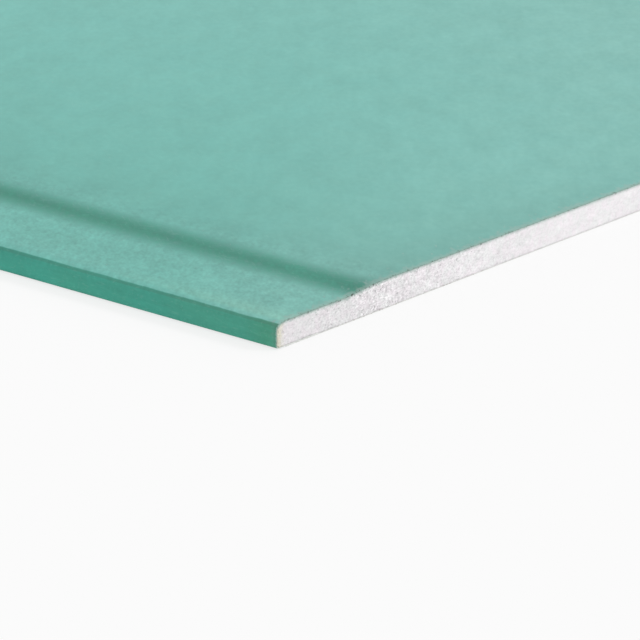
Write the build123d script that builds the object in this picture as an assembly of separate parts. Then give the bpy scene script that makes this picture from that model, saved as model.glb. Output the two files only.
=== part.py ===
from build123d import *
import math
import os

# A drywall sheet, lying face up: a gypsum core between two papers.
# Sizes are in millimetres. The origin is the middle of the underside.
# +X runs along the sheet, +Y across it, and +Z out of its face.

# The sheet as it is sold
sheet_length = 2500.0
sheet_width = 1200.0
sheet_thickness = 12.5

# The two papers
face_paper_thickness = 0.35
back_paper_thickness = 0.3

# The recess along each long edge, which takes the tape and filler of a joint:
# a shallow ramp down from the face, then a level strip
taper_depth = 1.5
ramp_run = 28.0
strip_width = 32.0

# The rounding from the strip to the upright wall of the long edge:
# a wide roll through some degrees, and a small nose through the rest of the right angle
roll_radius = 10.0
roll_turn = 32.0
nose_radius = 1.8

# The underside of the long edge, where the face paper folds under as a flap.
# The back paper laps over the flap and leaves its outer strip bare.
heel_radius = 1.5
bare_flap_width = 6.0
paper_lap_width = 19.0

# Places that follow from the sizes
half_width = sheet_width / 2
flap_end = half_width - bare_flap_width - paper_lap_width
back_paper_edge = half_width - bare_flap_width
ramp_turn = 2 * math.degrees(math.atan(taper_depth / ramp_run))
ramp_radius = ramp_run / 2 / math.sin(math.radians(ramp_turn))
roll_share = math.sin(math.radians(roll_turn))
rounding_reach = roll_radius * roll_share + nose_radius * (1 - roll_share)
field_edge = half_width - rounding_reach - strip_width - ramp_run


def wrapped_line(depth):
    """Draw half of the line that lies this deep under the outside of the face paper.

    It runs from the middle of the face over the ramp, along the strip, round the edge and back under it.
    Each bend keeps its centre at every depth, so the paper is as thick round a bend as it is on the flat.
    """
    field_height = sheet_thickness - depth
    field = Line((0, field_height), (field_edge, field_height))
    ramp_crest = JernArc(field @ 1, field % 1, ramp_radius - depth, -ramp_turn)
    ramp_foot = JernArc(ramp_crest @ 1, ramp_crest % 1, ramp_radius + depth, ramp_turn)
    strip = Line(ramp_foot @ 1, ramp_foot @ 1 + (field % 1) * strip_width)
    roll = JernArc(strip @ 1, field % 1, roll_radius - depth, -roll_turn)
    nose = JernArc(roll @ 1, roll % 1, nose_radius - depth, roll_turn - 90)
    wall = Line(nose @ 1, (half_width - depth, back_paper_thickness + heel_radius))
    heel = JernArc(wall @ 1, wall % 1, heel_radius - depth, -90)
    Line(heel @ 1, (flap_end, back_paper_thickness + depth))


def make_face_paper():
    """One sheet of paper that covers the face, wraps both long edges and folds under them."""
    with BuildPart() as face_paper:
        with BuildSketch(Plane.YZ):
            with BuildLine():
                wrapped_line(0)
                wrapped_line(face_paper_thickness)
                Line((flap_end, back_paper_thickness), (flap_end, back_paper_thickness + face_paper_thickness))
                mirror(about=Plane.YZ)
            make_face()
        extrude(amount=sheet_length / 2, both=True)
    return face_paper.part


def make_gypsum_core():
    """The gypsum that fills the face paper's wrap, stepped under each long edge by the folded flap."""
    with BuildPart() as gypsum_core:
        with BuildSketch(Plane.YZ):
            with BuildLine():
                wrapped_line(face_paper_thickness)
                Line((flap_end, back_paper_thickness + face_paper_thickness), (flap_end, back_paper_thickness))
                Line((flap_end, back_paper_thickness), (0, back_paper_thickness))
                mirror(about=Plane.YZ)
            make_face()
        extrude(amount=sheet_length / 2, both=True)
    return gypsum_core.part


def make_back_paper():
    """The flat paper of the back, which laps over both flaps and stops short of the long edges."""
    with BuildPart() as back_paper:
        with BuildSketch(Plane.YZ):
            with Locations((0, back_paper_thickness / 2)):
                Rectangle(2 * back_paper_edge, back_paper_thickness)
        extrude(amount=sheet_length / 2, both=True)
    return back_paper.part


os.makedirs("parts", exist_ok=True)
export_step(make_face_paper(), "parts/face_paper.step")
export_step(make_gypsum_core(), "parts/gypsum_core.step")
export_step(make_back_paper(), "parts/back_paper.step")
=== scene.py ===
import math

import bpy
import numpy as np
from bpy.props import FloatProperty, FloatVectorProperty, IntProperty, PointerProperty
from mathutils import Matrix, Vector


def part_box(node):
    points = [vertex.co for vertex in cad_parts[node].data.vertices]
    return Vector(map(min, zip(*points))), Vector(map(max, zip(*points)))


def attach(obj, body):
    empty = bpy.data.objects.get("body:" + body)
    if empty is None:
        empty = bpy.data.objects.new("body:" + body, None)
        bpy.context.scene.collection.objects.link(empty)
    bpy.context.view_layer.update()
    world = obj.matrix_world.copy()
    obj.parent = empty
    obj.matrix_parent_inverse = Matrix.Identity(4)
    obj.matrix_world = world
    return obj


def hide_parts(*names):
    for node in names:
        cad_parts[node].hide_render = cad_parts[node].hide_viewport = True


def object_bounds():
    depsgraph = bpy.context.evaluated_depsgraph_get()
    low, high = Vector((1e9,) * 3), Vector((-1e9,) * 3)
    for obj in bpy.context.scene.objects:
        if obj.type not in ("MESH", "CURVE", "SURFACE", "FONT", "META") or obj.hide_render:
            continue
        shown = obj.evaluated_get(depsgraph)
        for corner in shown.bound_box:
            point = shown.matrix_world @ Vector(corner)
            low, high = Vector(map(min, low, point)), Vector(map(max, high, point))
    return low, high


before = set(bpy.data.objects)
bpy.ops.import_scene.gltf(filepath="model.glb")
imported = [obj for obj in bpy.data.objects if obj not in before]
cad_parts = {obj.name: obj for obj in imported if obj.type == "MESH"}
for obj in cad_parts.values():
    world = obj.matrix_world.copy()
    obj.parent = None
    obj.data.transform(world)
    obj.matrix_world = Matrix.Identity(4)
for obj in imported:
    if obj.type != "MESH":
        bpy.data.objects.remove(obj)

# The looks of a drywall sheet: green face paper wrapped round two tapered edges,
# a cut gypsum core, a plain back paper, and the studio that it lies in.
# Sizes are in metres. +X runs along the sheet, +Y across it, and +Z out of its face.

bl_info = {
    "name": "Drywall Sheet",
    "version": (1, 0, 0),
    "blender": (4, 5, 0),
    "location": "3D View > Sidebar > Drywall",
    "description": "Makes the papers, the cut core and the studio of a drywall sheet",
    "category": "Add Mesh",
}

CAD_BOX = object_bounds()
PAPER_LOW, PAPER_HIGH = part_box("face_paper")
CORE_LOW, CORE_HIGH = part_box("gypsum_core")
BACK_LOW, BACK_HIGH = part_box("back_paper")

HALF_LENGTH = PAPER_HIGH.x
HALF_WIDTH = PAPER_HIGH.y
FACE_HEIGHT = PAPER_HIGH.z
PAPER_THICKNESS = PAPER_HIGH.z - CORE_HIGH.z
BACK_PAPER_EDGE = BACK_HIGH.y

# A paper's corners are sharp past this angle
SHARP_ANGLE = math.radians(50)

# The way in which the felt of the paper lies, and how long its clouds are for their width
FELT_TURN = math.radians(130)
FELT_STRETCH = (1.8, 1.0, 1.0)

WHITE = (1.0, 1.0, 1.0)

LEFT_END, RIGHT_END = -1, 1
ENDS = {LEFT_END: "left", RIGHT_END: "right"}


def length(name, description, default):
    """A size in metres that the sidebar shows in the scene's unit."""
    return FloatProperty(
        name=name, description=description, default=default, min=0.0, precision=5, unit="LENGTH"
    )


def angle(name, description, degrees):
    """An angle, given here in degrees."""
    return FloatProperty(
        name=name, description=description, default=math.radians(degrees), unit="ROTATION"
    )


def number(name, description, default):
    """A plain number, such as a share or a strength."""
    return FloatProperty(name=name, description=description, default=default, min=0.0)


def whole_number(name, description, default, least=0):
    """A number of things, or the start of random choices."""
    return IntProperty(name=name, description=description, default=default, min=least)


def colour(name, description, default):
    """A linear surface colour."""
    return FloatVectorProperty(
        name=name, description=description, default=default, size=3, min=0.0, max=1.0, subtype="COLOR"
    )


class SheetSizes(bpy.types.PropertyGroup):
    """The section's sizes, the same as in the sheet's solids."""

    taper_depth: length("Taper depth", "How far the jointing strip lies below the face", 0.0015)
    ramp_run: length("Ramp run", "Width of the ramp from the face down to the strip", 0.028)
    strip_width: length("Strip width", "Width of the level jointing strip", 0.032)
    roll_radius: length("Roll radius", "Wide radius where the strip turns down", 0.010)
    roll_turn: angle("Roll turn", "How far the wide radius turns", 32)
    nose_radius: length("Nose radius", "Small radius between the roll and the wall", 0.0018)
    heel_radius: length("Heel radius", "Radius where the wall folds under", 0.0015)
    paper_lap: length("Paper lap", "Width of the flap that the back paper covers", 0.019)
    pitch: length("Pitch", "Distance between neighbouring points of the section", 0.0006)
    finest_turn: angle("Finest turn", "Largest turn from one facet to the next", 6)


class CutSizes(bpy.types.PropertyGroup):
    """How roughly the ends are cut."""

    setback: length("Setback", "How far the papers' cut lines lie inside the sheet's end", 0.00020)
    core_setback: length("Core setback", "How far the core's highest grain lies inside the end", 0.00023)
    tear_fine: length("Fine tear", "Depth of the fuzz along a paper's cut line", 0.0005)
    tear_depth: length("Tear depth", "Depth of the largest nicks in a paper", 0.0015)
    tear_width: length("Tear width", "Width of the widest nicks in a paper", 0.0014)
    tear_spacing: length("Tear spacing", "Average distance from nick to nick", 0.0042)
    rim_wear: length("Rim wear", "How far the gypsum has crumbled away along its rim", 0.00045)
    rim_wear_below: number("Rim wear below", "Share of that wear at the back", 0.1)
    grain_size: length("Grain size", "Size of the lumps on the cut gypsum", 0.0016)
    grain_depth: length("Grain depth", "Depth between the lumps on the cut gypsum", 0.00016)
    pore_size: length("Pore size", "Distance between pores in the cut gypsum", 0.0042)
    pore_depth: length("Pore depth", "Depth of the pores in the cut gypsum", 0.00045)
    rows: whole_number("Rows", "Rows of facets on a cut end, from back to face", 19, 4)
    coarse_width: length("Coarse width", "How far in from a long edge the cut gypsum is coarse", 0.085)
    calm: number("Calm", "Coarseness of the cut gypsum further in", 0.2)
    crumb_density: number("Crumb density", "Crumbs on each square metre of cut gypsum", 4.0e5)
    smallest_crumb: length("Smallest crumb", "Radius of the smallest gypsum crumbs", 0.00008)
    largest_crumb: length("Largest crumb", "Radius of the largest gypsum crumbs", 0.00026)
    shred_density: number("Shred density", "Shreds on each square metre of cut paper", 3.0e6)
    shred_width: length("Shred width", "Width of a shred of torn paper", 0.00016)
    shred_length: length("Shred length", "Length of the longest shreds of torn paper", 0.0010)
    seed: whole_number("Seed", "Start of every random choice", 7)


class Finishes(bpy.types.PropertyGroup):
    """The colours of the sheet's materials."""

    # The face and strip greens hold a painted sheen, a whitish reflection, over the paper's own green; the
    # strip's holds less of it
    paper: colour("Face paper", "Green face paper with the bloom of its surface", (0.175, 0.483, 0.425))
    paper_strip: colour("Strip paper", "Green of the paper on the pressed strip", (0.148, 0.442, 0.381))
    # Painted shade: the ramp's slope is painted darker, with less of the painted sheen
    paper_ramp_shade: colour("Crease paper", "Green of the paper on the ramp's slope", (0.051, 0.267, 0.195))
    # Painted shade: past the fold the paper's own green is painted as if in shade, darkest on the nose just
    # under the fold
    paper_wall_shade: colour("Folded paper", "Green of the paper over the long edge", (0.060, 0.346, 0.258))
    paper_nose_shade: colour("Scored paper", "Green of the fold above the wall", (0.055, 0.273, 0.203))
    paper_fibre: colour("Pale fibre", "Pale fibres in the face paper", (0.55, 0.72, 0.65))
    paper_frayed: colour("Frayed paper", "Bare fibres along the face's cut line", (0.35, 0.45, 0.41))
    # This pale also paints a sheen towards the middle of the face
    dust: colour("Dust", "Gypsum dust on the face near a cut end", (0.82, 0.80, 0.79))
    ply: colour("Inner ply", "Dusty green of the face paper's cut thickness", (0.300, 0.455, 0.400))
    ply_torn: colour("Torn ply", "Dark grey-green of a nicked paper's inside", (0.07, 0.085, 0.07))
    ply_pale: colour("Pale ply", "Chalky edge of the paper on the underside", (0.82, 0.83, 0.80))
    gypsum: colour("Gypsum", "White of the cut gypsum", (0.83, 0.815, 0.83))
    gypsum_edge: colour("Edge gypsum", "Cream gypsum beside the folded paper", (0.78, 0.74, 0.61))
    gypsum_stain: colour("Stained gypsum", "Grey gypsum against the folded paper", (0.46, 0.50, 0.39))
    gypsum_pore: colour("Pores", "Shade in the gypsum's pores", (0.42, 0.40, 0.42))
    gypsum_speck: colour("Specks", "Dark specks in the gypsum", (0.30, 0.29, 0.30))
    back: colour("Back paper", "Grey-brown of the recycled back paper", (0.44, 0.41, 0.35))
    back_ply: colour("Back ply", "Inside of the back paper where it is nicked", (0.55, 0.54, 0.50))
    back_pale: colour("Pale flecks", "Pale flecks in the back paper", (0.62, 0.60, 0.54))
    back_dark: colour("Dark flecks", "Dark flecks in the back paper", (0.14, 0.13, 0.14))
    floor: colour("Floor", "Pale studio floor", (0.88, 0.88, 0.88))


class StudioSizes(bpy.types.PropertyGroup):
    """The camera and the lights."""

    camera_distance: length("Camera distance", "From the camera to the point that it looks at", 1.8)
    camera_azimuth: angle("Azimuth", "Direction of the camera, from -Y towards +X", 40.487)
    camera_elevation: angle("Elevation", "Height of the camera above the floor", 18.912)
    aim_inset: length("Aim inset", "How far along from its corner the camera looks", 0.01087)
    aim_depth: length("Aim depth", "How far across from its corner the camera looks", 0.03862)
    lens: number("Lens", "Focal length in millimetres", 255.8)
    key_strength: number("Key strength", "Strength of the light from the far side", 0.94)
    key_elevation: angle("Key elevation", "Height of the light from the far side", 36)
    key_azimuth: angle("Key azimuth", "Direction of that light, from +X towards +Y", 38)
    key_softness: angle("Key softness", "Width of that light's disc", 14)
    room: number("Room", "Strength of the soft light from all round", 0.80)
    floor_glow: number("Floor glow", "Share of the floor that the camera sees as plain white", 0.75)
    floor_reach: length("Floor reach", "From the sheet to the edge of the floor", 70.0)
    floor_gap: length("Floor gap", "From the floor up to the sheet's underside", 0.0001)


# Section


class SectionPen:
    """Draws a line of the section in short steps, and notes which way is outwards at each point."""

    def __init__(self, y, z, pitch, finest_turn):
        self.pitch = pitch
        self.finest_turn = finest_turn
        self.heading = 0.0
        self.points = [(y, z)]
        self.headings = [0.0]

    def step(self, distance):
        y, z = self.points[-1]
        across, up = math.cos(self.heading), math.sin(self.heading)
        self.points.append((y + distance * across, z + distance * up))

    def run(self, distance):
        """Go straight on."""
        steps = max(1, math.ceil(distance / self.pitch))
        for _ in range(steps):
            self.step(distance / steps)
            self.headings.append(self.heading)

    def bend(self, radius, turn):
        """Go round an arc. A negative turn bends towards the underside."""
        steps = max(math.ceil(radius * abs(turn) / self.pitch), math.ceil(abs(turn) / self.finest_turn))
        chord = 2 * radius * math.sin(abs(turn) / steps / 2)
        for _ in range(steps):
            self.heading += turn / steps / 2
            self.step(chord)
            self.heading += turn / steps / 2
            self.headings.append(self.heading)


def ramp_turn(sizes):
    """How far the ramp turns down, and then back."""
    return 2 * math.atan(sizes.taper_depth / sizes.ramp_run)


def half_section(sizes):
    """The face paper's outside from mid-face to the end of its flap: points, and the headings there."""
    turn = ramp_turn(sizes)
    ramp_radius = sizes.ramp_run / 2 / math.sin(turn)
    roll_share = math.sin(sizes.roll_turn)
    rounding_reach = sizes.roll_radius * roll_share + sizes.nose_radius * (1 - roll_share)
    pen = SectionPen(0.0, FACE_HEIGHT, sizes.pitch, sizes.finest_turn)
    pen.run(HALF_WIDTH - rounding_reach - sizes.strip_width - sizes.ramp_run)
    pen.bend(ramp_radius, -turn)
    pen.bend(ramp_radius, turn)
    pen.run(sizes.strip_width)
    pen.bend(sizes.roll_radius, -sizes.roll_turn)
    pen.bend(sizes.nose_radius, sizes.roll_turn - math.pi / 2)
    pen.run(pen.points[-1][1] - PAPER_LOW.z - sizes.heel_radius)
    pen.bend(sizes.heel_radius, -math.pi / 2)
    pen.run(pen.points[-1][0] - (BACK_PAPER_EDGE - sizes.paper_lap))
    return np.array(pen.points), np.array(pen.headings)


def outward_of(headings):
    """The outward direction at each point of a half section, as (y, z)."""
    return np.column_stack([-np.sin(headings), np.cos(headings)])


def mirrored(half, sign=1):
    """Both halves of a section line as one, from -Y to +Y. The other half's Y is multiplied by sign."""
    other = half[:0:-1].copy()
    if half.ndim > 1:
        other[:, 0] *= sign
    return np.concatenate([other, half])


def lengths_along(line):
    """The distance from a line's start to each of its points."""
    return np.concatenate([[0.0], np.cumsum(np.linalg.norm(np.diff(line, axis=0), axis=1))])


# Mesh building


def new_object(name, data):
    """An object in the scene, at the origin."""
    made = bpy.data.objects.new(name, data)
    bpy.context.scene.collection.objects.link(made)
    return made


def new_piece(name, points, faces, material_of_face=None):
    """A mesh object made of points and of faces that point outwards."""
    mesh = bpy.data.meshes.new(name)
    mesh.from_pydata(points.tolist(), [], list(faces))
    if material_of_face is not None:
        mesh.polygons.foreach_set("material_index", material_of_face)
    mesh.shade_smooth()
    mesh.update()
    return new_object(name, mesh)


def started_from(source, name):
    """A new piece that starts as a copy of another piece's mesh, without its layout."""
    mesh = source.data.copy()
    mesh.uv_layers.remove(mesh.uv_layers["OFBake"])
    return new_object(name, mesh)


def settle(piece, *nodes, slot):
    """Let a finished piece stand for its solids and move with them; slot is not used."""
    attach(piece, "root")
    if nodes:
        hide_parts(*nodes)


def set_attribute(piece, name, values):
    """Keep one number for each point under this name."""
    attribute = piece.data.attributes.new(name, "FLOAT", "POINT")
    attribute.data.foreach_set("value", np.asarray(values, np.float32))


def joined_grid(rows, closed=False):
    """Quads between rows of point numbers. closed joins each row's last point to its first."""
    rows = np.asarray(rows)
    after = np.roll(rows, -1, axis=1)
    if not closed:
        rows, after = rows[:, :-1], after[:, :-1]
    return np.stack([rows[:-1], rows[1:], after[1:], after[:-1]], axis=-1).reshape(-1, 4)


def keep_layout(piece, places):
    """Keep the place of each corner of each face in the piece's texture."""
    layer = piece.data.uv_layers.new(name="OFBake")
    layer.uv.foreach_set("vector", places.astype(np.float32).ravel())


def lay_out(piece, *groups):
    """Lay a piece out flat. Each group is some of its faces, and its points' places across and up."""
    places = [np.stack([across[faces], up[faces]], -1).reshape(-1, 2) for faces, across, up in groups]
    keep_layout(piece, np.concatenate(places))


def place_along(x):
    """How far along the layout a point of a long piece goes, with more room for its last millimetres."""
    from_end = HALF_LENGTH - np.abs(x)
    half = np.interp(from_end, (0.0, 0.012, 0.05, HALF_LENGTH), (0.012, 0.036, 0.055, 0.5))
    return np.where(x < 0, half, 1 - half)


def corner_places(mesh):
    """The place of each corner of each face, and the middle of that corner's face."""
    points = np.empty(3 * len(mesh.vertices))
    mesh.vertices.foreach_get("co", points)
    corners = np.empty(len(mesh.loops), int)
    mesh.loops.foreach_get("vertex_index", corners)
    sides = np.empty(len(mesh.polygons), int)
    mesh.polygons.foreach_get("loop_total", sides)
    places = points.reshape(-1, 3)[corners]
    middles = np.add.reduceat(places, np.cumsum(sides) - sides) / sides[:, None]
    return places.T, np.repeat(middles, sides, axis=0).T


def lay_out_in_bands(piece, ends, bands=8, cut_reach=0.005):
    """Lay a piece's cut ends out in bands, one above the other. The rest shares one more band."""
    (x, y, z), (middle_x, middle_y, _) = corner_places(piece.data)
    on_cut = np.abs(middle_x) > HALF_LENGTH - cut_reach
    band = np.clip(np.floor((middle_y / HALF_WIDTH + 1) / 2 * bands), 0, bands - 1)
    row = np.where(on_cut, band + bands * (ends - 1) * (middle_x > 0), bands * ends)
    across = np.where(on_cut, (y / HALF_WIDTH + 1) / 2 * bands - band, (x / HALF_LENGTH + 1) / 2)
    up = np.where(on_cut, z / FACE_HEIGHT, (HALF_WIDTH + y + z) / (2 * HALF_WIDTH + FACE_HEIGHT))
    rows = bands * ends + 1
    keep_layout(piece, np.column_stack([0.01 + 0.98 * across, (row + 0.05 + 0.9 * up) / rows]))


def torn_depths(along, cut, random):
    """How far a paper is torn back at each place along a cut line: fuzz, with a nick now and then."""
    depth = cut.tear_fine * random.random(len(along)) ** 1.3
    count = int(along[-1] / cut.tear_spacing)
    centres = random.uniform(0.0, along[-1], count)
    widths = cut.tear_width * random.uniform(0.25, 1.0, count)
    depths = cut.tear_depth * random.uniform(0.4, 1.0, count)
    for centre, width, deepest in zip(centres, widths, depths):
        first, last = np.searchsorted(along, (centre - width / 2, centre + width / 2))
        share = 1 - ((along[first:last] - centre) / (width / 2)) ** 2
        depth[first:last] = np.maximum(depth[first:last], deepest * share)
    return depth


def torn_sheet(name, outside, inside, cut, random, headings, looseness, room):
    """A closed sheet of paper between two section lines, torn at both ends as deep as its looseness allows.

    Its attributes keep how deep each point of a cut line is torn, and by how many degrees the section
    has turned there. room is the share of the layout that each step of the section gets, for its length.
    """
    along = lengths_along(outside)
    middle = 0.5 * (outside + inside)
    edge = HALF_LENGTH - cut.setback
    insets = (0.0017, 0.004, 0.012, 0.05)
    outer_rows, inner_rows, middle_rows, torn = [], [], [], []
    for end in ENDS:
        tears = looseness * torn_depths(along, cut, random)
        ply_tears = tears * random.uniform(0.2, 0.7, len(along))
        inner_tears = 0.1 * tears

        def row(line, distance_in):
            return np.column_stack([np.broadcast_to(end * (edge - distance_in), len(line)), line])

        outer = [row(outside, tears)] + [row(outside, inset) for inset in insets]
        inner = [row(inside, inner_tears)] + [row(inside, inset) for inset in insets]
        outer_rows += outer if end == LEFT_END else outer[::-1]
        inner_rows += inner if end == LEFT_END else inner[::-1]
        middle_rows.append(row(middle, ply_tears))
        torn.append(tears / cut.tear_depth)
    points = np.vstack(outer_rows + inner_rows + middle_rows)
    count, rows = len(outside), len(outer_rows)
    grid = np.arange(len(points)).reshape(-1, count)
    outer, inner = grid[:rows], grid[rows : 2 * rows]
    left_middle, right_middle = grid[2 * rows :]
    skin = joined_grid(outer)
    lining = joined_grid(inner)[:, ::-1]
    first_edge = joined_grid(np.stack([inner[:, 0], outer[:, 0]], 1))
    last_edge = joined_grid(np.stack([outer[:, -1], inner[:, -1]], 1))
    left = np.array([outer[0], left_middle, inner[0]])
    right = np.array([inner[-1], right_middle, outer[-1]])
    left_cut, right_cut = joined_grid(left[::-1]), joined_grid(right[::-1])
    quads = np.vstack([skin, lining, first_edge, last_edge, left_cut, right_cut])
    corners = np.array([left[:, 0], left[::-1, -1], right[:, 0], right[::-1, -1]])
    faces = quads.tolist() + corners.tolist()
    materials = np.r_[np.zeros(len(skin), int), np.ones(len(faces) - len(skin), int)]
    piece = new_piece(name, points, faces, materials)

    # In the layout, the skin fills most of the height, the lining and the two edges lie above it,
    # and the cuts stand upright at both sides
    line = np.concatenate([[0.0], np.cumsum(room * np.diff(along))])
    up = np.tile(0.004 + 0.94 * line / line[-1], len(grid))
    lining_up = np.tile(np.linspace(0.952, 0.992, count), len(grid))
    outwards = np.repeat([*np.ones(rows), *np.zeros(rows), 0.5, 0.5], count)
    across = place_along(points[:, 0])
    lay_out(
        piece,
        (skin, across, up),
        (lining, across, lining_up),
        (first_edge, across, 0.9950 + 0.0015 * outwards),
        (last_edge, across, 0.9975 + 0.0015 * outwards),
        (left_cut, 0.001 + 0.008 * outwards, up),
        (right_cut, 0.999 - 0.008 * outwards, up),
        (corners, 0.001 + 0.008 * outwards, up),
    )
    depth = np.zeros((len(grid), count))
    for left_row, right_row in ((0, rows - 1), (rows, 2 * rows - 1), (2 * rows, 2 * rows + 1)):
        depth[left_row], depth[right_row] = torn
    set_attribute(piece, "torn", depth.ravel())
    set_attribute(piece, "turned", np.tile(np.degrees(headings), len(grid)))
    return piece


# Node trees


class Output:
    """What a node gives at each point: a number, a place or a colour, or else a mesh or a shader.

    Arithmetic with a number adds nodes to its tree.
    """

    def __init__(self, tree, socket):
        self.tree = tree
        self.socket = socket

    def __add__(self, other):
        return maths("ADD", self, other)

    def __sub__(self, other):
        return maths("SUBTRACT", self, other)

    def __rsub__(self, other):
        return maths("SUBTRACT", other, self)

    def __mul__(self, other):
        return maths("MULTIPLY", self, other)

    def __truediv__(self, other):
        return maths("DIVIDE", self, other)

    def __rtruediv__(self, other):
        return maths("DIVIDE", other, self)

    def __pow__(self, other):
        return maths("POWER", self, other)

    __radd__ = __add__
    __rmul__ = __mul__


def add_node(tree, kind, inputs=None, **settings):
    """Add a node, set it, and wire or fill its inputs by name or number."""
    node = tree.nodes.new(kind)
    place = len(tree.nodes) - 1
    in_a_row = 8
    node.location = (220 * (place % in_a_row), -320 * (place // in_a_row))
    for name, value in settings.items():
        setattr(node, name, value)
    for name, value in (inputs or {}).items():
        socket = node.inputs[name]
        if isinstance(value, Output):
            tree.links.new(value.socket, socket)
        elif socket.type == "RGBA":
            socket.default_value = (*value, 1.0)
        else:
            socket.default_value = value
    return node


def result_of(tree, kind, inputs=None, output=0, **settings):
    """What a new node gives at one of its outputs."""
    return Output(tree, add_node(tree, kind, inputs, **settings).outputs[output])


def maths(operation, first, second=0.0):
    """One step of arithmetic. At least one of its numbers is an output."""
    tree = (first if isinstance(first, Output) else second).tree
    return result_of(tree, "ShaderNodeMath", {0: first, 1: second}, operation=operation)


def largest(first, *others):
    """The largest of several numbers."""
    for other in others:
        first = maths("MAXIMUM", first, other)
    return first


def vector_maths(operation, first, second):
    """One step of arithmetic on each part of a place or a colour."""
    return result_of(first.tree, "ShaderNodeVectorMath", {0: first, 1: second}, operation=operation)


def part_of(place, axis):
    """One coordinate of a place."""
    return result_of(place.tree, "ShaderNodeSeparateXYZ", {"Vector": place}, axis)


def remap(value, low, high, to_low=0.0, to_high=1.0):
    """Bring a value from one range to another, smoothly and without passing its ends."""
    return result_of(
        value.tree,
        "ShaderNodeMapRange",
        {"Value": value, "From Min": low, "From Max": high, "To Min": to_low, "To Max": to_high},
        interpolation_type="SMOOTHSTEP",
    )


# Geometry Nodes


def new_geometry_tree(name, numbers, places=()):
    """A tree with a mesh, a material and a seed as inputs, and a named input for each number and place."""
    tree = bpy.data.node_groups.new(name, "GeometryNodeTree")
    inputs = (
        ("Geometry", ("Geometry",)),
        ("Material", ("Material",)),
        ("Int", ("Seed",)),
        ("Float", numbers),
        ("Vector", places),
    )
    for kind, labels in inputs:
        for label in labels:
            tree.interface.new_socket(label, in_out="INPUT", socket_type=f"NodeSocket{kind}")
    tree.interface.new_socket("Geometry", in_out="OUTPUT", socket_type="NodeSocketGeometry")
    given = {socket.name: Output(tree, socket) for socket in add_node(tree, "NodeGroupInput").outputs}
    return tree, given


def attribute_of(tree, name):
    """A number that a point's attribute keeps."""
    return result_of(tree, "GeometryNodeInputNamedAttribute", {"Name": name}, data_type="FLOAT")


def position_of(tree):
    """The place of each point."""
    return result_of(tree, "GeometryNodeInputPosition")


def random_vector(tree, lowest, highest, seed):
    """Three random numbers for each point, all three between the same two."""
    inputs = {0: (lowest,) * 3, 1: (highest,) * 3, "Seed": seed}
    return result_of(tree, "FunctionNodeRandomValue", inputs, data_type="FLOAT_VECTOR")


def random_number(tree, lowest, highest, seed):
    """A random number for each point."""
    inputs = {2: lowest, 3: highest, "Seed": seed}
    return result_of(tree, "FunctionNodeRandomValue", inputs, output=1, data_type="FLOAT")


def finish_tree(geometry, material):
    """End a tree with real meshes in their material."""
    tree = geometry.tree
    real = result_of(tree, "GeometryNodeRealizeInstances", {"Geometry": geometry})
    dressed = result_of(tree, "GeometryNodeSetMaterial", {"Geometry": real, "Material": material})
    add_node(tree, "NodeGroupOutput", {"Geometry": dressed})
    return tree


def run_geometry_tree(piece, tree, values):
    """Run a tree on a piece, with its inputs set by their sockets' identifiers, and keep the plain mesh."""
    modifier = piece.modifiers.new(tree.name, "NODES")
    modifier.node_group = tree
    for item in tree.interface.items_tree:
        if item.item_type == "SOCKET" and item.in_out == "INPUT" and item.name in values:
            modifier[item.identifier] = values[item.name]
    graph = bpy.context.evaluated_depsgraph_get()
    made = bpy.data.meshes.new_from_object(piece.evaluated_get(graph))
    piece.modifiers.remove(modifier)
    made.name = piece.name
    piece.data = made


def rough_cut_tree():
    """Sinks grain and pores into the cut ends, and keeps how deep each pore lies as an attribute."""
    tree, given = new_geometry_tree("Rough cut", ("Grain Size", "Grain Depth", "Pore Size", "Pore Depth"))
    place = position_of(tree)
    # The blade drags the grain out along the cut
    dragged = vector_maths("MULTIPLY", place, (1.0, 0.6, 1.0))
    scale = 1.0 / given["Grain Size"]
    grain = result_of(
        tree,
        "ShaderNodeTexNoise",
        {"Vector": dragged, "W": given["Seed"], "Scale": scale, "Detail": 3.0, "Roughness": 0.65},
        noise_dimensions="4D",
    )
    pore_distance = result_of(
        tree,
        "ShaderNodeTexVoronoi",
        {"Vector": place, "W": given["Seed"], "Scale": 1.0 / given["Pore Size"]},
        voronoi_dimensions="4D",
    )
    coarse = attribute_of(tree, "coarse")
    pore = remap(pore_distance, 0.30, 0.12)
    depth = (remap(grain, 0.68, 0.32) * given["Grain Depth"] + pore * given["Pore Depth"]) * coarse
    inwards = depth * maths("SIGN", part_of(place, "X") * -1.0)
    stored = result_of(
        tree,
        "GeometryNodeStoreNamedAttribute",
        {"Geometry": given["Geometry"], "Name": "pore", "Value": pore * coarse},
        data_type="FLOAT",
        domain="POINT",
    )
    offset = result_of(tree, "ShaderNodeCombineXYZ", {"X": inwards})
    moved = result_of(tree, "GeometryNodeSetPosition", {"Geometry": stored, "Offset": offset})
    return finish_tree(moved, given["Material"])


def new_scatter_tree(name, *sizes):
    """A tree that scatters one end's litter, with its own sizes as inputs too."""
    return new_geometry_tree(name, ("End", "Density", *sizes), ("Lowest Corner", "Highest Corner"))


def scatter(given, chosen, density, litter, size, turn_seed):
    """Put copies on the chosen faces, turned at random, keep them in the solids' box and end the tree."""
    tree = litter.tree
    spots = result_of(
        tree,
        "GeometryNodeDistributePointsOnFaces",
        {"Mesh": given["Geometry"], "Selection": chosen, "Density": density, "Seed": given["Seed"]},
    )
    turn = random_vector(tree, 0.0, 6.28, turn_seed)
    copies = result_of(
        tree,
        "GeometryNodeInstanceOnPoints",
        {"Points": spots, "Instance": litter, "Rotation": turn, "Scale": size},
    )
    real = result_of(tree, "GeometryNodeRealizeInstances", {"Geometry": copies})
    above = vector_maths("MAXIMUM", position_of(tree), given["Lowest Corner"])
    inside = vector_maths("MINIMUM", above, given["Highest Corner"])
    held = result_of(tree, "GeometryNodeSetPosition", {"Geometry": real, "Position": inside})
    return finish_tree(held, given["Material"])


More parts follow.
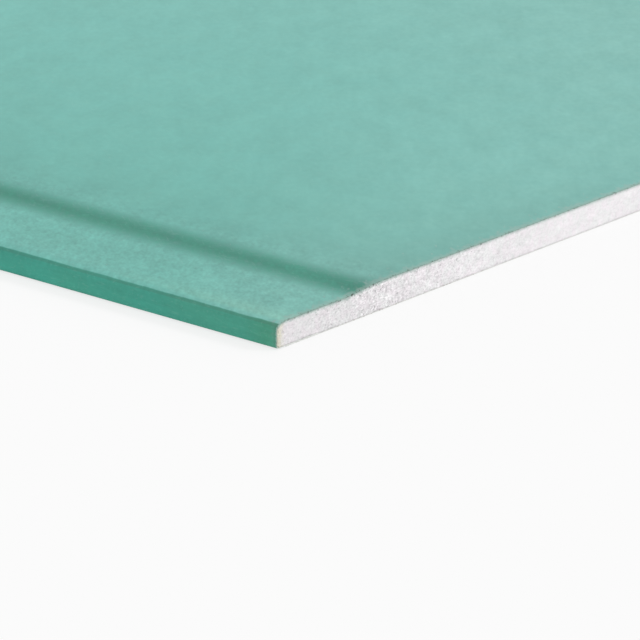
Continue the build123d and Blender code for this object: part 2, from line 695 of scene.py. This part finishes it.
def crumb_tree():
    """Scatters small lumps over the cut gypsum of one end."""
    tree, given = new_scatter_tree("Gypsum crumbs", "Smallest", "Largest")
    on_this_end = maths("GREATER_THAN", part_of(position_of(tree), "X") * given["End"], 0.0)
    chosen = maths("GREATER_THAN", attribute_of(tree, "cut") * on_this_end, 0.9)
    density = given["Density"] * attribute_of(tree, "coarse")
    lump = result_of(tree, "GeometryNodeMeshIcoSphere", {"Radius": 1.0, "Subdivisions": 1})
    # Most of the crumbs are small
    share = random_number(tree, 0.0, 1.0, given["Seed"]) ** 2.5
    radius = result_of(
        tree,
        "ShaderNodeMapRange",
        {"Value": share, "To Min": given["Smallest"], "To Max": given["Largest"]},
    )
    size = vector_maths("MULTIPLY", random_vector(tree, 0.6, 1.2, 3), radius)
    return scatter(given, chosen, density, lump, size, turn_seed=4)


def shred_tree():
    """Scatters short curved shreds over one end's cut paper."""
    tree, given = new_scatter_tree("Paper shreds", "Width", "Longest")
    facing = part_of(result_of(tree, "GeometryNodeInputNormal"), "X") * given["End"]
    chosen = maths("GREATER_THAN", facing, 0.45)
    stem = result_of(
        tree,
        "GeometryNodeMeshCylinder",
        {"Vertices": 4, "Side Segments": 2, "Radius": 0.5, "Depth": 1.0},
        fill_type="TRIANGLE_FAN",
    )
    height = part_of(position_of(tree), "Z")
    bend = result_of(tree, "ShaderNodeCombineXYZ", {"X": height * height * 4.0})
    bent = result_of(tree, "GeometryNodeSetPosition", {"Geometry": stem, "Offset": bend})
    reach = given["Longest"] * random_number(tree, 0.35, 1.0, given["Seed"])
    width = given["Width"]
    size = result_of(tree, "ShaderNodeCombineXYZ", {"X": width, "Y": width * 0.5, "Z": reach})
    return scatter(given, chosen, given["Density"], bent, size, turn_seed=5)


# Materials


def emptied_tree(holder):
    """The node tree of a material or a world, with nothing in it."""
    holder.use_nodes = True
    holder.node_tree.nodes.clear()
    return holder.node_tree


def new_material(name, roughness):
    """A material with one principled shader, and where a point lies on the sheet."""
    material = bpy.data.materials.new(name)
    tree = emptied_tree(material)
    inputs = {"Roughness": roughness, "Specular IOR Level": 0.3}
    shader = add_node(tree, "ShaderNodeBsdfPrincipled", inputs)
    add_node(tree, "ShaderNodeOutputMaterial", {"Surface": Output(tree, shader.outputs[0])})
    return material, shader, result_of(tree, "ShaderNodeTexCoord", output="Object")


def finish_shader(shader, base, relief, depth):
    """Give a shader its colour, and a surface raised by a relief from 0 to 1."""
    tree = base.tree
    raised = result_of(tree, "ShaderNodeBump", {"Height": relief, "Distance": depth, "Strength": 1.0})
    tree.links.new(base.socket, shader.inputs["Base Color"])
    tree.links.new(raised.socket, shader.inputs["Normal"])


def noise(place, size, detail=2.0, roughness=0.5, stretch=(1.0, 1.0, 1.0), turn=0.0):
    """Noise of about this size, from 0 to 1. stretch makes it longer along its axes, turned round Z."""
    turned = result_of(
        place.tree,
        "ShaderNodeMapping",
        {"Vector": place, "Rotation": (0.0, 0.0, turn), "Scale": stretch},
        vector_type="TEXTURE",
    )
    return result_of(
        place.tree,
        "ShaderNodeTexNoise",
        {"Vector": turned, "Scale": 1.0 / size, "Detail": detail, "Roughness": roughness},
    )


def swing(place, size, *how):
    """The same noise, which swings to both sides of 0."""
    return noise(place, size, *how) - 0.5


def edge_distances(place):
    """How far a point lies inside the nearer long edge, and inside the nearer end."""
    inside = HALF_WIDTH - maths("ABSOLUTE", part_of(place, "Y"))
    from_end = HALF_LENGTH - maths("ABSOLUTE", part_of(place, "X"))
    return inside, from_end


def kept_number(place, name):
    """A number that the mesh keeps at its points."""
    return result_of(place.tree, "ShaderNodeAttribute", output="Fac", attribute_name=name)


def blend_colour(share, first, second):
    """One colour over another."""
    inputs = {0: share, 6: first, 7: second}
    return result_of(share.tree, "ShaderNodeMix", inputs, output=2, data_type="RGBA", clamp_factor=True)


def tinted(base, tint):
    """A colour multiplied by a number around 1, or its three parts by three such numbers."""
    return vector_maths("MULTIPLY", base, tint)


def tinted_where(share, base, tint):
    """A colour with a tint over part of it."""
    return blend_colour(share, base, tinted(base, tint))


def face_paper_material(sizes, finishes):
    """Green paper: a felted mottle, dust near the cut ends, a painted sheen on the field, painted shade on
    the ramp and the fold.
    """
    material, shader, place = new_material("green_face_paper", 0.8)
    shader.inputs["Sheen Weight"].default_value = 0.08
    shader.inputs["Sheen Roughness"].default_value = 0.5
    shader.inputs["Sheen Tint"].default_value = (0.9, 0.97, 1.0, 1.0)
    inside, from_end = edge_distances(place)
    height = part_of(place, "Z")
    turned = kept_number(place, "turned")
    drift = swing(place, 0.20, 1.0)
    hue = swing(place, 0.018, 2.0, 0.8)
    mottle = swing(place, 0.020, 3.0, 1.0, FELT_STRETCH, FELT_TURN)
    flecks = swing(place, 0.0022, 1.0, 1.0, FELT_STRETCH, FELT_TURN)
    streaks = swing(place, 0.0035, 2.0, 0.6, (14.0, 1.0, 1.0))
    clouds = noise(place, 0.045, 1.0)
    felt = largest(*[noise(place, 0.0009, 1.0, 0.5, (6.0, 1.0, 1.0), turn) for turn in (0.0, 0.55, -0.6)])

    # A painted sheen, a whitish reflection, grows from the long edges towards the middle; near the cut ends
    # gypsum dust is mixed in, and towards the middle more painted sheen
    painted_sheen = remap(inside, 0.060, 0.250) * (1 + drift * 0.8)
    base = blend_colour(painted_sheen, finishes.paper_strip, finishes.paper)
    dust_reach = inside * 0.6 + 0.055
    dusty = remap(from_end / dust_reach, 1.2, 0.0) * 0.050 + remap(inside, 0.20, 0.50, 0.0, 0.042)
    base = blend_colour(dusty * (1 + mottle * 0.9), base, finishes.dust)

    # Painted shade on the ramp, darker the steeper its slope
    on_ramp = maths("GREATER_THAN", inside, 0.036)
    slope = turned / -math.degrees(ramp_turn(sizes)) * on_ramp
    uneven = flecks * 1.1 + mottle
    ramp_shade = remap(slope * (1 + uneven * 0.9), 0.0, 1.0)
    base = blend_colour(ramp_shade, base, finishes.paper_ramp_shade)

    # The fold, in degrees: a crisp painted terminator high on the roll, past which the paper is painted in
    # shade, darkest just under it
    fold = (1 - on_ramp) * turned
    folded = remap(fold + hue * 6.875, -22, -27)
    shade_line = folded * remap(fold, -52, -29)
    base = blend_colour(folded, base, finishes.paper_wall_shade)
    base = blend_colour(shade_line, base, finishes.paper_nose_shade)
    cloudy = blend_colour(remap(clouds, 0.30, 0.70), (0.92, 1.01, 1.03), (1.08, 0.99, 0.97))
    base = tinted_where(folded, base, cloudy)
    greener = folded * remap(from_end, 0.020, 0.004)
    base = tinted_where(greener, base, (1.02, 0.93, 0.85))
    # Painted highlight on the upper roll, near the cut ends
    roll_highlight_near_end = remap(inside, 0.018, 0.005) * remap(from_end, 0.110, 0.020) * remap(fold, -20, -4)
    base = tinted_where(roll_highlight_near_end, base, (1.16, 1.08, 1.04))

    # Tone and hue, with painted light and shade on the roll, the wall and round the ramp
    on_strip = remap(inside, 0.090, 0.050)
    stray = mottle * (on_strip * 0.28 + 0.30) + flecks * (on_strip * 0.42 + 0.03)
    stray = stray * (1 - folded * 0.6)
    streaked = streaks * folded * 0.35
    # Painted highlight high on the roll
    roll_highlight = remap(fold, -3, -14) * 0.065
    # Painted light: the paper is painted lighter where it turns under at the heel
    heel = remap(fold, -92, -135) * 0.12
    # Painted light and shade on the wall: darker high up, lighter low down
    wall_shading_by_height = remap(height, 0.0090, 0.0018, -0.09, 0.09) * folded
    # Painted shade on the wall along its cut edge
    cut_edge_shade = remap(from_end, 0.0024, 0.0010, 0.0, -0.14) * folded
    # Painted shade on the ramp and the field near the cut ends, where the ramp's shade widens
    pressed = remap(inside, 0.035, 0.055) * remap(inside, 0.30, 0.10, 0.35, 1.0)
    pressed = pressed * remap(from_end, 0.040, 0.0, 0.0, -0.10)
    # Painted shade round the ramp
    ramp_shade_halo = remap(inside, 0.034, 0.046) * remap(inside, 0.118, 0.060) * -0.058
    base = tinted(base, 1 + stray + streaked + roll_highlight + heel + wall_shading_by_height + cut_edge_shade + pressed + ramp_shade_halo)
    warm = hue * 0.65 + 0.5
    base = blend_colour(warm, tinted(base, (0.95, 1.0, 1.02)), tinted(base, (1.05, 1.0, 0.98)))
    base = blend_colour(remap(felt, 0.62, 0.78) * 0.06, base, finishes.paper_fibre)

    # Fibres lie bare along the cut line
    frayed = remap(from_end * (1 + flecks * 3.0), 0.0040, 0.0005) * (0.45 - folded * 0.35)
    base = blend_colour(frayed, base, finishes.paper_frayed)
    finish_shader(shader, base, (felt + mottle) * 0.5, 0.00005)
    return material


def dark_spots(place):
    """Dark spots here and there along a cut line, on the paper and the gypsum alike."""
    return remap(noise(place, 0.0016, 1.0, 0.5, (90.0, 1.0, 1.4)), 0.60, 0.66)


def raggedness(place, cut):
    """How dark the spots along a cut line are, from 0 to 1: most at the ramp, less on the strip and further
    in.
    """
    inside, _ = edge_distances(place)
    past_strip = remap(inside, 0.028, 0.045, 0.5, 1.0)
    return past_strip * remap(inside, 2 * cut.coarse_width, cut.coarse_width, 0.3, 1.0)


def ply_material(name, cut, dusty, torn_colour, chalky):
    """The cut thickness of a paper: dusty, dark in its nicks, and chalky on the underside of the sheet."""
    material, shader, place = new_material(name, 0.9)
    spots = remap(noise(place, 0.0012, 2.0, 0.8), 0.50, 0.62)
    torn = remap(kept_number(place, "torn"), 0.52, 0.85)
    dark = largest(spots * 0.45, torn, dark_spots(place) * 0.9)
    base = blend_colour(dark * raggedness(place, cut), dusty, torn_colour)
    under = remap(kept_number(place, "turned"), -100, -150)
    base = blend_colour(under * 0.9, base, chalky)
    finish_shader(shader, base, noise(place, 0.0004, 1.0), 0.0001)
    return material


def gypsum_material(cut_sizes, finishes):
    """Cut gypsum: white, mottled and speckled, stained beside the folded paper and smeared with fibres."""
    material, shader, place = new_material("gypsum", 0.9)
    cut, gap, pore, coarse = [kept_number(place, name) for name in ("cut", "paper_gap", "pore", "coarse")]
    inside, _ = edge_distances(place)
    mottle = swing(place, 0.0034, 2.5, 1.0, (1.0, 1.8, 1.0))
    grain = swing(place, 0.0008, 1.0, 0.7, (1.0, 1.6, 1.0))
    ragged = noise(place, 0.0018, 3.0, 0.9)
    specks = remap(noise(place, 0.0009, 1.0, 0.5, (1.0, 1.4, 1.0)), 0.66, 0.74)
    clumps = remap(noise(place, 0.0022, 2.0, 0.8), 0.52, 0.64)
    rosy = remap(noise(place, 0.0045, 2.0, 0.8), 0.35, 0.65)

    # Cream and stain beside the long edge
    edge_gap = ragged * 0.006 + inside
    cream = remap(edge_gap, 0.0085, 0.0046) * 0.85
    stain = remap(edge_gap, 0.0048, 0.0034) * 0.8
    base = blend_colour(cream, finishes.gypsum, finishes.gypsum_edge)
    base = blend_colour(stain, base, finishes.gypsum_stain)

    # The cut is smoothest beside the long edge and liveliest under the ramp
    lively = remap(inside, 0.018, 0.030, 0.57, 0.85)
    lively = lively * remap(inside, 0.042, 0.054, 1.0, 1.7) * remap(inside, 0.062, 0.078, 1.0, 0.69)

    # Tone: greyer towards the long edges, mottled on the cut
    greyer_to_edges = remap(inside, 0.0, 0.20, 0.925, 1.02)
    stray = (mottle * coarse**0.3 * 0.66 + grain * coarse * 0.75) * lively
    base = tinted(base, greyer_to_edges * (1 + stray))
    base = blend_colour(rosy, tinted(base, (0.985, 1.005, 0.99)), tinted(base, (1.02, 0.99, 1.005)))
    base = blend_colour(pore * 0.30, base, finishes.gypsum_pore)
    base = blend_colour(specks * coarse * lively * 0.60, base, finishes.gypsum_speck)

    # Fibres and green dust that the blade dragged over the gypsum's rim
    fringe = remap(ragged, 0.38, 0.72, 0.0, 0.0018)
    fringed = remap(gap - fringe, 0.00015, -0.00015, 0.0, 0.6) * coarse
    haze = remap(gap, 0.0016, 0.0, 0.0, 0.55)
    fibre = blend_colour(clumps * 0.4, finishes.ply, finishes.ply_torn)
    base = blend_colour(largest(fringed, haze) * cut, base, fibre)
    # Dark spots along the gypsum's rim just under the paper
    spots_under_paper = dark_spots(place) * remap(gap, 0.0008, 0.0003) * raggedness(place, cut_sizes)
    base = blend_colour(spots_under_paper * 0.8, base, finishes.ply_torn)
    finish_shader(shader, base, noise(place, 0.0006, 2.0, 0.7), 0.00006)
    return material


def back_paper_material(finishes):
    """Recycled paper: grey-brown, with pale and dark flecks."""
    material, shader, place = new_material("plain_back_paper", 0.85)
    cloud = remap(noise(place, 0.025, 3.0, 0.6), 0.35, 0.65)
    pale = remap(noise(place, 0.0012, 2.0, 0.6, (4.0, 1.0, 1.0)), 0.62, 0.72)
    dark = remap(noise(place, 0.0016, 2.0, 0.6, (3.0, 1.0, 1.0), 0.8), 0.68, 0.76)
    base = blend_colour(cloud, finishes.back, [0.88 * part for part in finishes.back])
    base = blend_colour(pale * 0.35, base, finishes.back_pale)
    base = blend_colour(dark * 0.45, base, finishes.back_dark)
    finish_shader(shader, base, noise(place, 0.0009, 2.0, 0.5, (6.0, 1.0, 1.0)), 0.0001)
    return material


def seen_directly(tree):
    """1 where the camera sees a surface, also in a mirror or through glass, and 0 where it only lights."""
    rays = ("Is Camera Ray", "Is Glossy Ray", "Is Transmission Ray")
    camera, glossy, transmitted = [result_of(tree, "ShaderNodeLightPath", output=ray) for ray in rays]
    return maths("MINIMUM", camera + glossy + transmitted, 1.0)


def floor_material(scene):
    """A pale floor that the camera sees a little lighter than the lamps make it, with the shadow kept."""
    material = bpy.data.materials.new("studio_floor")
    tree = emptied_tree(material)
    share = seen_directly(tree) * scene.drywall_studio.floor_glow
    matte = result_of(tree, "ShaderNodeBsdfDiffuse", {"Color": scene.drywall_finishes.floor})
    glow = result_of(tree, "ShaderNodeEmission", {"Color": WHITE, "Strength": 1.0})
    mixed = result_of(tree, "ShaderNodeMixShader", {0: share, 1: matte, 2: glow})
    add_node(tree, "ShaderNodeOutputMaterial", {"Surface": mixed})
    return material


# Pieces


def make_face_paper(scene):
    """One paper over the face, round both long edges and back under them."""
    sizes, cut, finishes = scene.drywall_sizes, scene.drywall_cut, scene.drywall_finishes
    half_points, half_headings = half_section(sizes)
    outside = mirrored(half_points, -1)
    outward = mirrored(outward_of(half_headings), -1)
    inside = outside - PAPER_THICKNESS * outward
    random = np.random.default_rng(cut.seed)
    headings = mirrored(half_headings)
    looseness = np.where(headings < -math.radians(120), 0.2, 1.0)
    from_edge = HALF_WIDTH - np.abs(outside[1:, 0])
    turned = np.degrees(headings[1:])
    room = np.select([turned < -170, turned < -1, from_edge < 0.075], [0.4, 3.0, 2.0], 0.6)
    piece = torn_sheet("face_paper_wrap", outside, inside, cut, random, headings, looseness, room)
    piece.data.materials.append(face_paper_material(sizes, finishes))
    ply = ply_material("cut_face_paper", cut, finishes.ply, finishes.ply_torn, finishes.ply_pale)
    piece.data.materials.append(ply)
    piece.data.set_sharp_from_angle(angle=SHARP_ANGLE)
    settle(piece, "face_paper", slot="green_face_paper")
    return piece, ply


def litter_ends(source, name, tree, sizes, seed, slot):
    """Scatter small things over both cut ends of a piece, and keep each end's as a piece of its own."""
    for end, side in ENDS.items():
        piece = started_from(source, f"{name}_{side}")
        box = {"Lowest Corner": CAD_BOX[0], "Highest Corner": CAD_BOX[1]}
        run_geometry_tree(piece, tree, {**sizes, **box, "End": float(end), "Seed": seed + end})
        lay_out_in_bands(piece, ends=1)
        settle(piece, slot=slot)


def make_paper_shreds(scene, paper, ply):
    """Shreds of torn paper along each end's cut line."""
    cut = scene.drywall_cut
    sizes = {"Density": cut.shred_density, "Width": cut.shred_width, "Longest": cut.shred_length}
    values = {**sizes, "Material": ply}
    litter_ends(paper, "paper_shreds", shred_tree(), values, cut.seed, "green_face_paper")


def core_columns(sizes):
    """Where the core's cut end starts and stops at each place across it: y, lowest z, highest z."""
    points, headings = half_section(sizes)
    outward = outward_of(headings)
    line = points - PAPER_THICKNESS * outward
    upright = outward[:, 1] < 1e-6
    wall_top = np.argmax(upright)
    y = line[: wall_top + 1, 0]
    high = line[: wall_top + 1, 1]
    heel_radius = sizes.heel_radius - PAPER_THICKNESS
    heel_y = HALF_WIDTH - sizes.heel_radius
    heel_z = PAPER_LOW.z + sizes.heel_radius
    over = np.clip(y - heel_y, 0.0, heel_radius)
    heel = heel_z - np.sqrt(np.maximum(heel_radius**2 - over**2, 0.0))
    flap_end = BACK_PAPER_EDGE - sizes.paper_lap
    low = np.where(y < flap_end, CORE_LOW.z, heel)
    return mirrored(np.column_stack([y, low, high]), -1)


def make_gypsum_core(scene):
    """The core, with both cut ends rough."""
    sizes, cut = scene.drywall_sizes, scene.drywall_cut
    columns = core_columns(sizes)
    share = np.linspace(0.0, 1.0, cut.rows + 1)
    y = np.repeat(columns[:, 0], len(share))
    z = (columns[:, 1, None] + (columns[:, 2] - columns[:, 1])[:, None] * share).ravel()
    count, rows = len(columns), len(share)
    grid = np.arange(count * rows).reshape(count, rows)
    rim = np.concatenate([grid[:, 0], grid[-1, 1:], grid[-2::-1, -1], grid[0, -2:0:-1]])
    random = np.random.default_rng(cut.seed + 1)
    behind = HALF_LENGTH - 0.004
    ends, ends_behind = [], []
    for end in ENDS:
        wear = np.zeros(count * rows)
        wear[rim] = cut.rim_wear * random.random(len(rim)) ** 1.5
        wear[grid[:, 0]] *= cut.rim_wear_below
        x = end * (HALF_LENGTH - cut.core_setback - wear)
        ends.append(np.column_stack([x, y, z]))
        ends_behind.append(np.column_stack([np.full(len(rim), end * behind), y[rim], z[rim]]))
    points = np.vstack(ends + ends_behind)
    first_behind = 2 * count * rows
    left_behind = first_behind + np.arange(len(rim))
    mantle = joined_grid([count * rows + rim, len(rim) + left_behind, left_behind, rim], closed=True)
    cut_end = joined_grid(grid)
    piece = new_piece(
        "gypsum_core_cut", points, np.vstack([mantle, cut_end[:, ::-1], count * rows + cut_end])
    )
    paper_gap = np.repeat(columns[:, 2], rows) - z
    coarse = np.interp(HALF_WIDTH - np.abs(y), (cut.coarse_width, 2 * cut.coarse_width), (1.0, cut.calm))
    hidden = np.zeros(2 * len(rim))
    set_attribute(piece, "cut", np.r_[np.ones(first_behind), hidden])
    set_attribute(piece, "coarse", np.r_[coarse, coarse, hidden])
    set_attribute(piece, "paper_gap", np.r_[paper_gap, paper_gap, hidden + 0.01])
    gypsum = gypsum_material(cut, scene.drywall_finishes)
    values = {
        "Grain Size": cut.grain_size,
        "Grain Depth": cut.grain_depth,
        "Pore Size": cut.pore_size,
        "Pore Depth": cut.pore_depth,
        "Seed": cut.seed,
        "Material": gypsum,
    }
    run_geometry_tree(piece, rough_cut_tree(), values)
    lay_out_in_bands(piece, ends=2)
    settle(piece, "gypsum_core", slot="gypsum")
    return piece, gypsum


def make_crumbs(scene, core, gypsum):
    """Crumbs of gypsum on both cut ends."""
    cut = scene.drywall_cut
    sizes = {"Density": cut.crumb_density, "Smallest": cut.smallest_crumb, "Largest": cut.largest_crumb}
    values = {**sizes, "Material": gypsum}
    litter_ends(core, "gypsum_crumbs", crumb_tree(), values, cut.seed, "gypsum")


def make_back_paper(scene):
    """The plain paper of the back, which laps over both flaps of the face paper."""
    sizes, cut, finishes = scene.drywall_sizes, scene.drywall_cut, scene.drywall_finishes
    steps = math.ceil(2 * BACK_PAPER_EDGE / sizes.pitch)
    y = np.linspace(BACK_PAPER_EDGE, -BACK_PAPER_EDGE, steps + 1)
    outside = np.column_stack([y, np.full(len(y), BACK_LOW.z)])
    inside = np.column_stack([y, np.full(len(y), BACK_HIGH.z)])
    random = np.random.default_rng(cut.seed + 2)
    level = np.zeros(len(y))
    piece = torn_sheet("back_paper_sheet", outside, inside, cut, random, level, 0.2, np.ones(steps))
    piece.data.materials.append(back_paper_material(finishes))
    ply = ply_material("cut_back_paper", cut, finishes.ply_pale, finishes.back_ply, finishes.ply_pale)
    piece.data.materials.append(ply)
    piece.data.set_sharp_from_angle(angle=SHARP_ANGLE)
    settle(piece, "back_paper", slot="plain_back_paper")


# Studio


def direction(azimuth, elevation):
    """The way out to a lamp or a camera. Its azimuth runs from +X towards +Y."""
    level = math.cos(elevation)
    return Vector((math.cos(azimuth) * level, math.sin(azimuth) * level, math.sin(elevation)))


def stand(name, data, back):
    """A lamp or a camera with its back turned this way."""
    made = new_object(name, data)
    made.rotation_mode = "QUATERNION"
    made.rotation_quaternion = back.to_track_quat("Z", "Y")
    return made


def make_floor(scene):
    """A wide pale floor just under the sheet."""
    studio = scene.drywall_studio
    quarters = np.array([(-1, -1, 0), (1, -1, 0), (1, 1, 0), (-1, 1, 0)])
    corners = studio.floor_reach * quarters - (0.0, 0.0, studio.floor_gap)
    floor = new_piece("studio_floor", corners, np.array([(0, 1, 2, 3)]))
    floor.data.materials.append(floor_material(scene))


def make_key_light(scene):
    """A far lamp on the sheet's far side."""
    studio = scene.drywall_studio
    lamp = bpy.data.lights.new("key_light", "SUN")
    lamp.energy = studio.key_strength
    lamp.angle = studio.key_softness
    stand("key_light", lamp, direction(studio.key_azimuth, studio.key_elevation))


def make_world(scene):
    """A soft room with the same light from all round, which the camera sees as white."""
    scene.world = bpy.data.worlds.new("studio_room")
    tree = emptied_tree(scene.world)
    strength = remap(seen_directly(tree), 0.0, 1.0, scene.drywall_studio.room, 1.0)
    glow = result_of(tree, "ShaderNodeBackground", {"Color": WHITE, "Strength": strength})
    add_node(tree, "ShaderNodeOutputWorld", {"Surface": glow})


def make_camera(scene):
    """The camera looks down on one corner of the sheet."""
    studio = scene.drywall_studio
    aim = Vector((HALF_LENGTH - studio.aim_inset, -HALF_WIDTH + studio.aim_depth, 0.0))
    back = direction(studio.camera_azimuth - math.pi / 2, studio.camera_elevation)
    data = bpy.data.cameras.new("studio_camera")
    data.lens = studio.lens
    data.clip_start = 0.05
    data.clip_end = 200.0
    camera = stand("studio_camera", data, back)
    camera.location = aim + back * studio.camera_distance
    scene.camera = camera


# Operators and panel


class DRYWALL_OT_studio(bpy.types.Operator):
    """Set up the floor, the lights and the camera"""

    bl_idname = "drywall.studio"
    bl_label = "Studio"

    def execute(self, context):
        make_floor(context.scene)
        make_world(context.scene)
        make_key_light(context.scene)
        make_camera(context.scene)
        return {"FINISHED"}


class DRYWALL_OT_face_paper(bpy.types.Operator):
    """Wrap the green face paper round the sheet, with the shreds of its cut ends"""

    bl_idname = "drywall.face_paper"
    bl_label = "Face Paper"

    def execute(self, context):
        paper, ply = make_face_paper(context.scene)
        make_paper_shreds(context.scene, paper, ply)
        return {"FINISHED"}


class DRYWALL_OT_gypsum_core(bpy.types.Operator):
    """Make the gypsum core with its rough, crumbly cut ends"""

    bl_idname = "drywall.gypsum_core"
    bl_label = "Gypsum Core"

    def execute(self, context):
        core, gypsum = make_gypsum_core(context.scene)
        make_crumbs(context.scene, core, gypsum)
        return {"FINISHED"}


class DRYWALL_OT_back_paper(bpy.types.Operator):
    """Make the plain paper of the back"""

    bl_idname = "drywall.back_paper"
    bl_label = "Back Paper"

    def execute(self, context):
        make_back_paper(context.scene)
        return {"FINISHED"}


OPERATORS = (DRYWALL_OT_studio, DRYWALL_OT_face_paper, DRYWALL_OT_gypsum_core, DRYWALL_OT_back_paper)


class DRYWALL_PT_panel(bpy.types.Panel):
    """The sheet's pieces and the studio"""

    bl_label = "Drywall Sheet"
    bl_idname = "DRYWALL_PT_panel"
    bl_space_type = "VIEW_3D"
    bl_region_type = "UI"
    bl_category = "Drywall"

    def draw(self, context):
        for operator in OPERATORS:
            self.layout.operator(operator.bl_idname)


SETTINGS = {
    "drywall_sizes": SheetSizes,
    "drywall_cut": CutSizes,
    "drywall_finishes": Finishes,
    "drywall_studio": StudioSizes,
}
CLASSES = (*SETTINGS.values(), *OPERATORS, DRYWALL_PT_panel)


def register():
    for each in CLASSES:
        bpy.utils.register_class(each)
    for name, settings in SETTINGS.items():
        setattr(bpy.types.Scene, name, PointerProperty(type=settings))


def unregister():
    for name in SETTINGS:
        delattr(bpy.types.Scene, name)
    for each in reversed(CLASSES):
        bpy.utils.unregister_class(each)


def main():
    register()
    bpy.context.scene.view_settings.view_transform = "Standard"
    bpy.ops.drywall.studio()
    bpy.ops.drywall.face_paper()
    bpy.ops.drywall.gypsum_core()
    bpy.ops.drywall.back_paper()


if __name__ == "__main__":
    main()
